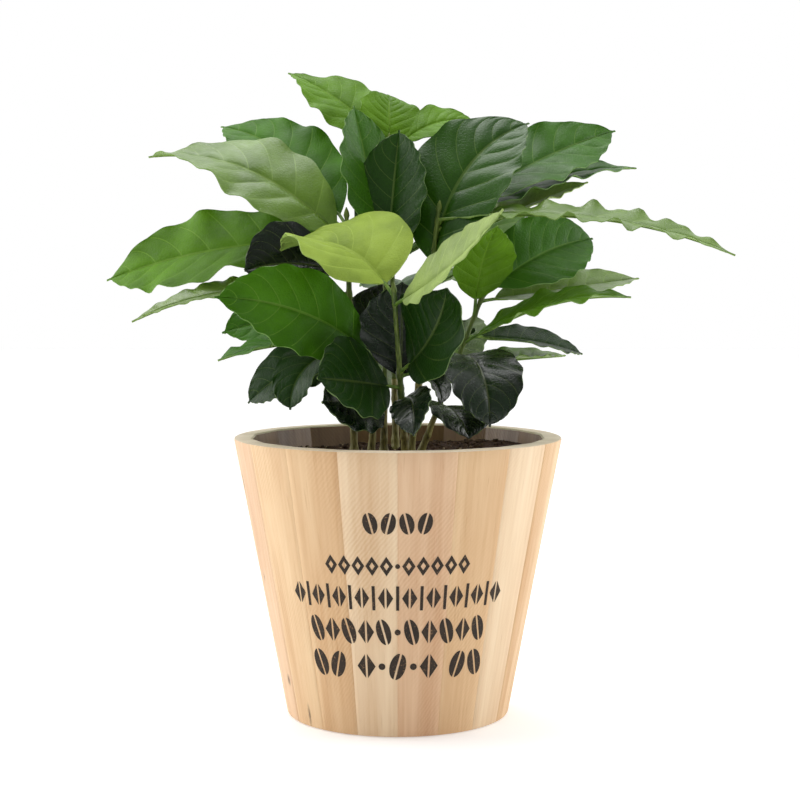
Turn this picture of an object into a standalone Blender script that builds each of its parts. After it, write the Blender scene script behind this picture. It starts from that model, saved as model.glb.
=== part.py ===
"""Potted coffee plant: a clump of seven young coffee seedlings in a round wooden tub.

Metres, +Z up. The origin is the centre of the tub's flat underside. +X is to the
right and -Y is towards the viewer. The tub is a tapered turned shell with flat staves
inside, filled with peat. Each seedling is a bare stem that carries one mass of foliage:
its leader, with petioles and leaves joined on. All leaves follow one rule, in
leaf_rings().
"""

import math
from collections import namedtuple

import bmesh
import bpy
from mathutils import Vector

# Tub
RIM_DIAMETER = 0.150
BASE_DIAMETER = 0.102
TUB_HEIGHT = 0.127
WALL = 0.009
FLOOR = 0.010
STAVES = 18
ROUND_SIDES = 72
EDGE_EASE = 0.0008

# Peat, which fills the tub to a little below the rim
PEAT_LEVEL = 0.1190
PEAT_EDGE_DROP = 0.0020
PEAT_FLAT_RADIUS = 0.034
GAP = 0.0003

# Stems: radii from the soil up to the bud, and the flare at the foot
STEM_FOOT_RADIUS = 0.0017
STEM_FORK_RADIUS = 0.0014
LEADER_TIP_RADIUS = 0.0009
FLARE_RADIUS = 0.0025
FLARE_HEIGHT = 0.004
STEM_SIDES = 8
LEADER_SIDES = 6
FORK_BELOW_LEAF = 0.004
BUD_LENGTH = 0.006
BUD_RADIUS = 0.0014

# Leaves
PETIOLE_LENGTH = 0.008
PETIOLE_RADIUS = 0.0009
BLADE_STEPS = 10
MIDRIB_STEPS = 40
DROOP_POWER = 1.3
BLADE_END = 0.975
DRIP_TIP_START = 0.80
DRIP_TIP_WIDTH = 0.13
DRIP_TIP_TAPER = 0.12
WAVES = 5
WAVE_FADE_POWER = 0.7
WAVE_FULL_LENGTH = 0.110
THICKNESS_SHARE = 0.013
LEAST_THICKNESS = 0.0010
TIP_HALF_WIDTH = 0.0004
TIP_THICKNESS = 0.0006

# Finishes: name, colour and roughness
TUB_WOOD = ("tub wood", (0.72, 0.52, 0.32), 0.6)
PEAT = ("peat", (0.05, 0.03, 0.02), 0.9)
GREEN_STEM = ("green stem", (0.30, 0.32, 0.10), 0.5)

# Ages of leaf
# fold: how far the half blades rise from the midrib, in degrees
# widest: power that moves the widest place towards the tip
# fullness: power below 1 that rounds the outline out
# wave: height of the waves along the margin of a leaf of WAVE_FULL_LENGTH or more
Age = namedtuple("Age", "finish fold widest fullness wave")
YOUNG = Age(("young leaf", (0.42, 0.55, 0.12), 0.40), 15, 0.80, 0.74, 0.0015)
PALE = Age(("pale leaf", (0.38, 0.50, 0.20), 0.40), 14, 1.00, 0.74, 0.0012)
BRIGHT = Age(("bright leaf", (0.12, 0.28, 0.03), 0.35), 8, 1.03, 0.74, 0.0028)
GROWN = Age(("grown leaf", (0.07, 0.19, 0.03), 0.35), 8, 1.03, 0.72, 0.0022)
OLD = Age(("old leaf", (0.015, 0.05, 0.015), 0.30), 12, 1.12, 0.60, 0.0012)
AGES = (YOUNG, PALE, BRIGHT, GROWN, OLD)

# One leaf: height of its node, then angles in degrees, then length and width.
# azimuth is its heading seen from above, 0 along +X and 90 along +Y; rise is the
# climb at its root, lessened by droop towards the tip; sweep turns the heading on
# the way, roll tips the blade about its midrib and twist adds to that on the way.
Leaf = namedtuple("Leaf", "height azimuth rise droop sweep roll twist length width age")
# One seedling: (x, y) of its foot on the peat, (x, y, z) of its top, and its leaves.
Seedling = namedtuple("Seedling", "foot top leaves")

SEEDLINGS = {
    "front": Seedling((0.0035, -0.019), (-0.0015, -0.039, 0.192), (
        Leaf(0.191, 142, 52, 76, 13, -38, 39, 0.069, 0.064, YOUNG),
        Leaf(0.188, -63, 15, -31, 22, 68, -24, 0.083, 0.029, PALE),
        Leaf(0.158, -58, 24, -60, 22, 73, 9, 0.051, 0.052, OLD),
        Leaf(0.156, -17, 21, 122, -4, 0, 8, 0.027, 0.021, OLD),
        Leaf(0.151, -134, 8, 2, 0, -60, 0, 0.051, 0.042, OLD),
        Leaf(0.148, 86, 80, -8, 0, 6, 0, 0.050, 0.040, OLD),
        Leaf(0.145, -75, 17, 76, -17, 27, 6, 0.047, 0.021, OLD),
    )),
    "crest": Seedling((-0.0065, 0.007), (-0.0055, 0.0075, 0.209), (
        Leaf(0.206, 119, 69, -2, 11, -5, 15, 0.079, 0.038, OLD),
        Leaf(0.196, 65, 80, 0, -10, -4, 12, 0.073, 0.040, OLD),
        Leaf(0.152, 93, 74, 1, 0, -6, 0, 0.047, 0.042, OLD),
    )),
    "left": Seedling((-0.02, 0.004), (-0.0235, 0.0085, 0.226), (
        Leaf(0.223, 128, 44, 35, 11, -33, 9, 0.108, 0.045, GROWN),
        Leaf(0.218, 169, -2, 16, -18, -26, -34, 0.128, 0.051, BRIGHT),
        Leaf(0.215, 168, 46, 53, -4, -69, 69, 0.110, 0.050, GROWN),
        Leaf(0.202, -160, 14, 30, 0, -68, 0, 0.050, 0.041, OLD),
        Leaf(0.192, 185, 8, 35, -3, -27, 8, 0.102, 0.020, PALE),
        Leaf(0.187, 141, 7, 40, 0, -27, 0, 0.084, 0.036, GROWN),
    )),
    "low_left": Seedling((-0.012, -0.012), (-0.009, -0.014, 0.176), (
        Leaf(0.173, 184, 19, 40, 3, -27, -33, 0.071, 0.036, GROWN),
        Leaf(0.170, 200, 6, 24, 13, -1, -4, 0.077, 0.027, GROWN),
        Leaf(0.163, -130, 33, 33, -28, -93, 21, 0.090, 0.040, BRIGHT),
        Leaf(0.165, 182, 16, 110, 30, 5, -35, 0.055, 0.032, OLD),
        Leaf(0.158, 159, 11, 59, 0, -47, -14, 0.069, 0.031, OLD),
        Leaf(0.145, -103, 3, 2, -19, -35, -37, 0.056, 0.038, OLD),
    )),
    "right": Seedling((0.006, 0.005), (0.0185, 0.004, 0.229), (
        Leaf(0.226, -14, 6, 30, 0, 14, 0, 0.137, 0.030, BRIGHT),
        Leaf(0.224, 29, 32, 18, 7, 6, 43, 0.115, 0.044, GROWN),
        Leaf(0.221, 34, 28, 28, -12, 13, 4, 0.117, 0.033, GROWN),
        Leaf(0.212, 25, 25, 7, 0, -5, 26, 0.088, 0.028, PALE),
        Leaf(0.199, 22, 84, 69, 9, 42, -9, 0.096, 0.053, GROWN),
        Leaf(0.194, 54, 24, 60, 0, -31, 0, 0.098, 0.042, GROWN),
        Leaf(0.170, 71, 13, 58, 0, -17, 0, 0.078, 0.036, OLD),
    )),
    "leaning": Seedling((0.01, -0.005), (0.039, -0.008, 0.193), (
        Leaf(0.191, 34, 36, 31, 0, 48, 5, 0.071, 0.039, OLD),
        Leaf(0.189, 32, 7, 1, -6, 29, -4, 0.089, 0.029, PALE),
        Leaf(0.182, 102, 103, -37, 21, 1, 0, 0.047, 0.032, BRIGHT),
        Leaf(0.173, 31, -1, 17, -6, 12, 18, 0.064, 0.026, OLD),
        Leaf(0.170, -30, 31, 36, 24, 28, -20, 0.081, 0.030, BRIGHT),
        Leaf(0.164, 96, 17, 48, 0, -15, 0, 0.066, 0.030, OLD),
        Leaf(0.163, -73, 14, 109, 0, 0, 11, 0.060, 0.036, OLD),
        Leaf(0.161, 34, 2, 1, 0, 4, 7, 0.064, 0.024, PALE),
        Leaf(0.157, -28, 24, 92, -5, 20, -5, 0.035, 0.027, BRIGHT),
        Leaf(0.141, -74, 10, 67, 13, -16, 18, 0.038, 0.033, OLD),
    )),
    "back": Seedling((-0.001, 0.021), (-0.004, 0.036, 0.262), (
        Leaf(0.260, 134, 42, 20, 23, -49, 41, 0.073, 0.037, BRIGHT),
        Leaf(0.258, 10, 46, 58, 8, 38, -10, 0.047, 0.027, BRIGHT),
        Leaf(0.256, 92, 80, 55, 0, 4, 16, 0.040, 0.031, BRIGHT),
        Leaf(0.224, 82, 42, 50, 0, -1, 0, 0.092, 0.042, GROWN),
        Leaf(0.211, 142, 28, 66, 0, 8, 0, 0.098, 0.042, GROWN),
        Leaf(0.206, 40, 32, 68, 0, -32, 0, 0.098, 0.042, GROWN),
        Leaf(0.184, 85, 29, 74, 0, -12, 0, 0.104, 0.044, GROWN),
        Leaf(0.176, 128, 22, 66, 0, 25, 0, 0.096, 0.040, OLD),
        Leaf(0.158, 47, 9, 62, 0, -15, 0, 0.078, 0.036, OLD),
        Leaf(0.156, 111, 7, 66, 0, 16, 0, 0.074, 0.036, OLD),
    )),
}

# Edges sharper than this many degrees stay crisp in the shading
SHARP_ANGLE = 50


def clear_scene():
    for obj in list(bpy.data.objects):
        bpy.data.objects.remove(obj, do_unlink=True)


def material(name, colour, roughness):
    made = bpy.data.materials.new(name)
    made.use_nodes = True
    shader = made.node_tree.nodes["Principled BSDF"]
    shader.inputs["Base Color"].default_value = (*colour, 1.0)
    shader.inputs["Roughness"].default_value = roughness
    shader.inputs["Metallic"].default_value = 0.0
    return made


def object_of(name, bm, finish=None):
    """The bmesh as a linked object, with its normals facing out."""
    bmesh.ops.recalc_face_normals(bm, faces=bm.faces[:])
    mesh = bpy.data.meshes.new(name)
    bm.to_mesh(mesh)
    bm.free()
    obj = bpy.data.objects.new(name, mesh)
    bpy.context.scene.collection.objects.link(obj)
    if finish:
        mesh.materials.append(finish)
    return obj


def shade(obj):
    obj.data.shade_smooth()
    obj.data.set_sharp_from_angle(angle=math.radians(SHARP_ANGLE))


def apply_modifiers(obj):
    graph = bpy.context.evaluated_depsgraph_get()
    mesh = bpy.data.meshes.new_from_object(obj.evaluated_get(graph))
    obj.modifiers.clear()
    obj.data = mesh


def frustum(low_radius, high_radius, low, high, sides):
    """A closed cone piece from height low to height high, a corner towards the viewer."""
    bm = bmesh.new()
    bmesh.ops.create_cone(
        bm, cap_ends=True, cap_tris=False, segments=sides,
        radius1=low_radius, radius2=high_radius, depth=high - low,
    )
    bmesh.ops.translate(bm, verts=bm.verts[:], vec=(0, 0, (low + high) / 2))
    return bm


def tub_radius(height):
    """Outer radius of the tub at this height."""
    share = height / TUB_HEIGHT
    return (BASE_DIAMETER + (RIM_DIAMETER - BASE_DIAMETER) * share) / 2


def inner_radius(height, clear=0.0):
    """Corner radius of the flat-staved inside, so that the wall is WALL thick at mid stave."""
    return (tub_radius(height) - WALL - clear) / math.cos(math.pi / STAVES)


def build_tub(wood):
    levels = (
        (0, tub_radius(0) - EDGE_EASE),
        (EDGE_EASE, tub_radius(EDGE_EASE)),
        (TUB_HEIGHT - EDGE_EASE, tub_radius(TUB_HEIGHT - EDGE_EASE)),
        (TUB_HEIGHT, tub_radius(TUB_HEIGHT) - EDGE_EASE),
    )
    rings = [circle(Vector((0, 0, z)), radius, ROUND_SIDES) for z, radius in levels]
    tub = object_of("pot", loft(rings), wood)
    above = TUB_HEIGHT + WALL
    cutter = object_of(
        "pot_inside_cutter",
        frustum(inner_radius(FLOOR), inner_radius(above), FLOOR, above, STAVES),
    )
    cut = tub.modifiers.new("inside", "BOOLEAN")
    cut.operation = "DIFFERENCE"
    cut.object = cutter
    apply_modifiers(tub)
    bpy.data.objects.remove(cutter, do_unlink=True)
    shade(tub)


def build_peat(finish):
    """The filling, level under the stems and a little lower along the wall."""
    low, edge = FLOOR + GAP, PEAT_LEVEL - PEAT_EDGE_DROP
    bm = frustum(inner_radius(low, GAP), inner_radius(edge, GAP), low, edge, STAVES)
    bm.faces.ensure_lookup_table()
    top = max(bm.faces, key=lambda face: face.calc_center_median().z)
    bmesh.ops.inset_region(bm, faces=[top], thickness=tub_radius(edge) - WALL - PEAT_FLAT_RADIUS)
    bmesh.ops.translate(bm, verts=top.verts[:], vec=(0, 0, PEAT_EDGE_DROP))
    object_of("soil", bm, finish)


def stem_point(seedling, height):
    """Centre of the seedling's stem at this height."""
    foot = Vector((*seedling.foot, PEAT_LEVEL))
    top = Vector(seedling.top)
    return foot.lerp(top, (height - PEAT_LEVEL) / (top.z - PEAT_LEVEL))


def loft(rings):
    """A closed skin of triangles through rings that all have the same even number of corners.

    Each diagonal runs from an even corner up to an odd one, so that the upper and the
    lower face of a thin leaf bend along the same lines and never cross.
    """
    bm = bmesh.new()
    made = [[bm.verts.new(point) for point in points] for points in rings]
    for lower, upper in zip(made, made[1:]):
        for i in range(len(lower)):
            after = (i + 1) % len(lower)
            even, odd = (i, after) if i % 2 == 0 else (after, i)
            bm.faces.new((lower[i], lower[after], upper[odd]))
            bm.faces.new((lower[even], upper[after], upper[i]))
    bm.faces.new(made[0][::-1])
    bm.faces.new(made[-1])
    return bm


def circle(centre, radius, sides):
    points = []
    for side in range(sides):
        angle = 2 * math.pi * side / sides
        points.append(centre + Vector((math.cos(angle), math.sin(angle), 0)) * radius)
    return points


def fork_height(seedling):
    """Where the bare stem ends and the mass of foliage begins."""
    return min(leaf.height for leaf in seedling.leaves) - FORK_BELOW_LEAF


def build_stem(name, seedling, finish):
    low, high = PEAT_LEVEL + GAP, fork_height(seedling)
    levels = (
        (low, FLARE_RADIUS),
        (low + FLARE_HEIGHT / 2, (FLARE_RADIUS + 2 * STEM_FOOT_RADIUS) / 3),
        (low + FLARE_HEIGHT, STEM_FOOT_RADIUS),
        (high, STEM_FORK_RADIUS),
    )
    rings = [circle(stem_point(seedling, z), radius, STEM_SIDES) for z, radius in levels]
    shade(object_of(name, loft(rings), finish))


def build_leader(name, seedling, finish):
    """The stem inside the foliage, from just above the bare stem to its pointed bud."""
    low, top = fork_height(seedling) + GAP, seedling.top[2]
    levels = (
        (low, STEM_FORK_RADIUS),
        (top, LEADER_TIP_RADIUS),
        (top + BUD_LENGTH / 3, BUD_RADIUS),
        (top + BUD_LENGTH, LEADER_TIP_RADIUS / 3),
    )
    rings = [circle(stem_point(seedling, z), radius, LEADER_SIDES) for z, radius in levels]
    return object_of(name, loft(rings), finish)


def leaf_frame(leaf, share):
    """Unit vectors along the midrib, to the left edge and out of the upper face."""
    heading = math.radians(leaf.azimuth + leaf.sweep * share)
    climb = math.radians(leaf.rise - leaf.droop * share**DROOP_POWER)
    roll = math.radians(leaf.roll + leaf.twist * share)
    along = Vector((
        math.cos(climb) * math.cos(heading),
        math.cos(climb) * math.sin(heading),
        math.sin(climb),
    ))
    level = Vector((-math.sin(heading), math.cos(heading), 0))
    up = along.cross(level)
    left = level * math.cos(roll) + up * math.sin(roll)
    face = up * math.cos(roll) - level * math.sin(roll)
    return along, left, face


def half_width(age, share):
    """Half the blade's width at this share of its length, as a share of the widest."""
    body = 0.0
    if 0 < share < BLADE_END:
        body = math.sin(math.pi * (share / BLADE_END) ** age.widest) ** age.fullness
    tail = 0.0
    if share > DRIP_TIP_START:
        tail = DRIP_TIP_WIDTH * min(1, (1 - share) / DRIP_TIP_TAPER)
    return max(body, tail)


def midrib(leaf, root, shares):
    """Points of the midrib at these shares of the leaf's length, by small steps."""
    points = [root]
    for step in range(MIDRIB_STEPS):
        along = leaf_frame(leaf, (step + 0.5) / MIDRIB_STEPS)[0]
        points.append(points[-1] + along * (leaf.length / MIDRIB_STEPS))
    found = []
    for share in shares:
        at = min(int(share * MIDRIB_STEPS), MIDRIB_STEPS - 1)
        found.append(points[at].lerp(points[at + 1], share * MIDRIB_STEPS - at))
    return found


def leaf_rings(leaf, root):
    """Four-cornered rings: left edge, upper face, right edge, lower face."""
    petiole = PETIOLE_LENGTH / leaf.length
    blade = [step / BLADE_STEPS for step in range(BLADE_STEPS + 1)]
    shares = [0.0] + [petiole + (1 - petiole) * share for share in blade]
    fold = math.radians(leaf.age.fold)
    rings = []
    for step, (share, centre) in enumerate(zip(shares, midrib(leaf, root, shares))):
        _, left, face = leaf_frame(leaf, share)
        along_blade = max(0.0, (share - petiole) / (1 - petiole))
        reach = leaf.width / 2 * half_width(leaf.age, along_blade)
        thickness = max(THICKNESS_SHARE * leaf.length, LEAST_THICKNESS)
        wave = 0.0
        if step < 2:
            reach, thickness = PETIOLE_RADIUS, 2 * PETIOLE_RADIUS
        elif step == BLADE_STEPS + 1:
            reach, thickness = TIP_HALF_WIDTH, TIP_THICKNESS
        else:
            full = leaf.age.wave * min(1, leaf.length / WAVE_FULL_LENGTH)
            height = full * math.sin(math.pi * along_blade) ** WAVE_FADE_POWER
            wave = height * math.cos(2 * math.pi * WAVES * along_blade)
        out, lift = reach * math.cos(fold), reach * math.sin(fold)
        rings.append((
            centre + left * out + face * (lift + wave),
            centre + face * (thickness / 2),
            centre - left * out + face * (lift - wave),
            centre - face * (thickness / 2),
        ))
    return rings


def build_foliage(name, seedling, stem_finish, leaf_finishes):
    """Leader, petioles and leaves of one seedling, joined into one solid."""
    mass = build_leader(name, seedling, stem_finish)
    group = bpy.data.collections.new(name + "_leaves")
    for number, leaf in enumerate(seedling.leaves):
        root = stem_point(seedling, leaf.height)
        rings = leaf_rings(leaf, root)
        blade = object_of(f"{name}_leaf_{number}", loft(rings), leaf_finishes[leaf.age])
        bpy.context.scene.collection.objects.unlink(blade)
        group.objects.link(blade)
    join = mass.modifiers.new("leaves", "BOOLEAN")
    join.operation = "UNION"
    join.operand_type = "COLLECTION"
    join.collection = group
    join.solver = "EXACT"
    join.material_mode = "TRANSFER"
    apply_modifiers(mass)
    for blade in list(group.objects):
        bpy.data.objects.remove(blade, do_unlink=True)
    bpy.data.collections.remove(group)
    shade(mass)


def main():
    clear_scene()
    build_tub(material(*TUB_WOOD))
    build_peat(material(*PEAT))
    stem_finish = material(*GREEN_STEM)
    leaf_finishes = {age: material(*age.finish) for age in AGES}
    for word, seedling in SEEDLINGS.items():
        build_stem("stem_" + word, seedling, stem_finish)
        build_foliage("foliage_" + word, seedling, stem_finish, leaf_finishes)


main()
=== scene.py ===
# %% [markdown]
# # A potted coffee plant
# Seven young coffee seedlings stand in a tapered wooden tub. A plain CAD model already
# gives every size: the tub, the peat, seven bare stems and seven masses of foliage. This
# lesson dresses it. It starts by loading that model as a fixed frame, so that every new
# piece is made in metres, in the same place as the plain piece it stands for.

# %% Load the CAD model as a fixed frame
import math
import random
from collections import namedtuple

import bmesh
import bpy
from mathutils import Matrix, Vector, noise


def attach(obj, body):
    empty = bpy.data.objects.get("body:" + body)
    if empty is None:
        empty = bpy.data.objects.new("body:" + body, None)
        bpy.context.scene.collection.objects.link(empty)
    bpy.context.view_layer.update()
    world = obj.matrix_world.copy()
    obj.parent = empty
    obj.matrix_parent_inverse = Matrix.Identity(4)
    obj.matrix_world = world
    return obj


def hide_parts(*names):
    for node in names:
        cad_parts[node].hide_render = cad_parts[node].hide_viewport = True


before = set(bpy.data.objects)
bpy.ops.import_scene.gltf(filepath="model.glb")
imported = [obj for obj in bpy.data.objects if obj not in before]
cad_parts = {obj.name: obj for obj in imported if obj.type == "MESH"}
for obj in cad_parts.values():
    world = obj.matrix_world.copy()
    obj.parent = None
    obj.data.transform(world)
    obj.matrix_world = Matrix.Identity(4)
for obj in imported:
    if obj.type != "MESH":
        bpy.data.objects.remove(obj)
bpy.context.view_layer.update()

print("CAD nodes:", len(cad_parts))

# %% [markdown]
# ## Camera
# The tub's rim is seen as a flat ellipse and its foot curves down, so the camera looks
# from a little above the rim, tipped down by a few degrees. A long lens keeps the tub's
# sides almost parallel, as a product photographer would.

# %% Camera
EYE = (0.001, -0.800, 0.2004)
PITCH_DOWN = 4.06
LENS = 78.7

camera = bpy.data.objects.new("camera", bpy.data.cameras.new("camera"))
camera.data.lens = LENS
camera.data.sensor_width = 36
camera.location = EYE
camera.rotation_euler = (math.radians(90 - PITCH_DOWN), 0, 0)
bpy.context.scene.collection.objects.link(camera)
bpy.context.scene.camera = camera
print("camera", [round(value, 3) for value in camera.location])

# %% [markdown]
# ## Floor and light
# The picture is high-key: everything round the plant is white, and soft light comes from
# all sides, a little more from the two flanks, which makes the tub's edges glow. A white
# world does most of it. Large area lamps add the flanks and the shine on the leaves. The
# Standard view transform keeps white white.

# %% Helpers for colours and new objects
def paint(red, green, blue):
    """The linear colour for values of 0 to 255 as a colour picker shows them."""
    linear = []
    for value in (red, green, blue):
        share = value / 255
        linear.append(share / 12.92 if share <= 0.04045 else ((share + 0.055) / 1.055) ** 2.4)
    return (*linear, 1.0)


def blend(colour, other, share):
    return tuple(a + (b - a) * share for a, b in zip(colour, other))


def object_from(name, bm, finishes):
    """The bmesh as a linked object that wears these finishes."""
    mesh = bpy.data.meshes.new(name)
    bm.to_mesh(mesh)
    bm.free()
    for finish in finishes:
        mesh.materials.append(finish)
    obj = bpy.data.objects.new(name, mesh)
    bpy.context.scene.collection.objects.link(obj)
    return obj


# %% Floor, world and lamps
FLOOR_SIZE = 4.0
LAMPS = {
    "left_softbox": ((-0.95, 0.15, 0.50), 0.8, 5.0),
    "right_softbox": ((0.95, 0.20, 0.45), 0.8, 4.5),
    "top_softbox": ((-0.15, 0.25, 1.1), 0.8, 6.0),
}
FRONT_LIGHT = 0.30
BACK_LIGHT = 1.05

bm = bmesh.new()
bmesh.ops.create_grid(bm, x_segments=1, y_segments=1, size=FLOOR_SIZE)
bmesh.ops.translate(bm, verts=bm.verts[:], vec=(0, 0, -0.0002))
floor_paint = bpy.data.materials.new("floor_paint")
floor_paint.use_nodes = True
floor_shader = floor_paint.node_tree.nodes["Principled BSDF"]
floor_shader.inputs["Base Color"].default_value = paint(240, 240, 240)
floor_shader.inputs["Roughness"].default_value = 0.9
floor_shader.inputs["Emission Color"].default_value = (1, 1, 1, 1)
floor_shader.inputs["Emission Strength"].default_value = 0.30
object_from("floor", bm, [floor_paint])

world = bpy.data.worlds.new("white_room")
world.use_nodes = True
room = world.node_tree
backdrop = room.nodes["Background"]
towards = room.nodes.new("ShaderNodeTexCoord").outputs["Generated"]
parts = room.nodes.new("ShaderNodeSeparateXYZ")
room.links.new(towards, parts.inputs[0])
depth = room.nodes.new("ShaderNodeMapRange")
depth.interpolation_type = "SMOOTHSTEP"
room.links.new(parts.outputs["Y"], depth.inputs[0])
for spot, value in enumerate((-0.75, 0.25, FRONT_LIGHT, BACK_LIGHT), start=1):
    depth.inputs[spot].default_value = value
seen = room.nodes.new("ShaderNodeLightPath")
strength = room.nodes.new("ShaderNodeMix")
room.links.new(seen.outputs["Is Camera Ray"], strength.inputs[0])
room.links.new(depth.outputs[0], strength.inputs[2])
strength.inputs[3].default_value = 1.0
backdrop.inputs["Color"].default_value = (1, 1, 1, 1)
room.links.new(strength.outputs[0], backdrop.inputs["Strength"])
bpy.context.scene.world = world
bpy.context.scene.view_settings.view_transform = "Standard"

for name, (place, size, watts) in LAMPS.items():
    lamp = bpy.data.objects.new(name, bpy.data.lights.new(name, "AREA"))
    lamp.data.shape = "SQUARE"
    lamp.data.size = size
    lamp.data.energy = watts
    lamp.location = place
    lamp.rotation_euler = (Vector((0, 0, 0.16)) - Vector(place)).to_track_quat("-Z", "Y").to_euler()
    bpy.context.scene.collection.objects.link(lamp)
print("lamps:", len(LAMPS))

# %% [markdown]
# ## A little help with shader nodes
# A finish is a small tree of nodes. Two helpers keep it readable: one places a node and
# sets or links its inputs by name, the other opens a node group with named sockets, for
# an effect that several finishes share.

# %% Helpers for shader nodes
def place_node(tree, kind, settings=None, **inputs):
    """A new node. An input given as a socket is linked, and any other value is set."""
    node = tree.nodes.new(kind)
    for key, value in (settings or {}).items():
        setattr(node, key, value)
    for key, value in inputs.items():
        spot = int(key[1:]) if key[1:].isdigit() and key[0] == "i" else key.replace("_", " ")
        if isinstance(value, bpy.types.NodeSocket):
            tree.links.new(value, node.inputs[spot])
        else:
            node.inputs[spot].default_value = value
    return node


def open_group(name, inputs, outputs):
    """A node group with sockets from {name: (type, default)} and (name, type) pairs."""
    group = bpy.data.node_groups.new(name, "ShaderNodeTree")
    for label, (kind, default) in inputs.items():
        socket = group.interface.new_socket(label, in_out="INPUT", socket_type=kind)
        if default is not None:
            socket.default_value = default
    for label, kind in outputs:
        group.interface.new_socket(label, in_out="OUTPUT", socket_type=kind)
    return group, group.nodes.new("NodeGroupInput"), group.nodes.new("NodeGroupOutput")


def mix_colours(tree, share, low, high):
    """A Mix node for two colours, and its result socket."""
    return place_node(tree, "ShaderNodeMix", {"data_type": "RGBA"}, i0=share, i6=low, i7=high).outputs[2]


def maths(tree, operation, first, second):
    return place_node(tree, "ShaderNodeMath", {"operation": operation}, i0=first, i1=second).outputs[0]


def ramp_range(tree, value, low, high, to_low=0.0, to_high=1.0):
    """The value moved from the range low to high into the range to_low to to_high."""
    node = place_node(tree, "ShaderNodeMapRange", i0=value, i1=low, i2=high, i3=to_low, i4=to_high)
    return node.outputs[0]


def new_finish(name, roughness=0.5, specular=0.5, coat=0.0, coat_roughness=0.2):
    """A material with its Principled shader, whose even values sit on the shader itself."""
    finish = bpy.data.materials.new(name)
    finish.use_nodes = True
    shader = finish.node_tree.nodes["Principled BSDF"]
    shader.inputs["Roughness"].default_value = roughness
    shader.inputs["Specular IOR Level"].default_value = specular
    shader.inputs["Coat Weight"].default_value = coat
    shader.inputs["Coat Roughness"].default_value = coat_roughness
    return finish, finish.node_tree, shader


def bump(tree, height, distance, strength=1.0):
    node = place_node(tree, "ShaderNodeBump", Strength=strength, Distance=distance, Height=height)
    return node.outputs["Normal"]


# %% [markdown]
# ## One way to draw round things
# The tub, the stems and the leaf stalks are all skins stretched through rings. A circle is
# made once and then extruded from ring to ring, and each new ring is moved into place.
# That is how a modeller would pull up a vase from its foot.

# %% Skin through rings
def skin(bm, rings, caps=(True, True)):
    """Extrudes a circle through rings of points. Returns the bands of faces it made."""
    count = len(rings[0])
    ring = bmesh.ops.create_circle(bm, cap_ends=False, segments=count, radius=1)["verts"]
    for vert, point in zip(ring, rings[0]):
        vert.co = point
    first = ring
    bands = []
    for points in rings[1:]:
        edges = [bm.edges.get((ring[i - 1], ring[i])) for i in range(count)]
        made = bmesh.ops.extrude_edge_only(bm, edges=edges)["geom"]
        fresh = {item for item in made if isinstance(item, bmesh.types.BMVert)}
        bands.append([item for item in made if isinstance(item, bmesh.types.BMFace)])
        above = []
        for vert in ring:
            above.append(next(e.other_vert(vert) for e in vert.link_edges if e.other_vert(vert) in fresh))
        for vert, point in zip(above, points):
            vert.co = point
        ring = above
    for wanted, end in zip(caps, (first, ring)):
        if wanted:
            edges = [bm.edges.get((end[i - 1], end[i])) for i in range(count)]
            bands.append(bmesh.ops.contextual_create(bm, geom=edges)["faces"])
    return bands


# %% [markdown]
# ## The wood of the tub
# The tub is glued up from eighteen staves of a pale softwood and then turned smooth on a
# lathe, so the outside is round and the inside still has flats. Each stave comes from
# another board: some are honey-coloured, some paler, some pinkish. The grain runs up the
# staves, and a coarse saw has left faint slanting lines. All of them share one group of
# nodes for grain and saw marks, and each tone gives it two colours of its own.

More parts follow.
